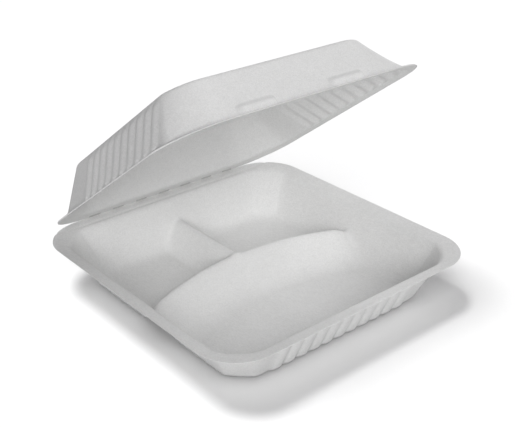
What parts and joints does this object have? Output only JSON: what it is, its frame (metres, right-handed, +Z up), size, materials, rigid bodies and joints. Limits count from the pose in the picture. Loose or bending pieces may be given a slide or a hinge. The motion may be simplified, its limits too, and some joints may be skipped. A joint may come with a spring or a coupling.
{
  "type": "clamshell food box",
  "caption": "Moulded-fibre takeaway box with three compartments, a ribbed drafted tray and a hinged domed lid on a perforated crease.",
  "frame": {"origin": "centre of the tray's underside, on the surface the box stands on", "axes": "+Z up, X along the hinge crease, -Y towards the free edge where the box opens, +Y towards the hinge"},
  "size_m": [0.228, 0.2307, 0.1822],
  "materials": {
    "fibre_tray": "matte",
    "fibre_lid": "matte"
  },
  "bodies": {
    "base_tray": {"base_tray": "fibre_tray"},
    "lid": {"lid": "fibre_lid"}
  },
  "joints": [
    {"name": "lid_hinge", "type": "hinge", "parent": "base_tray", "child": "lid", "pos_m": [0, 0.1145, 0.03715], "axis": [-1, 0, 0], "range_deg": [-36.3, 138.7]}
  ]
}
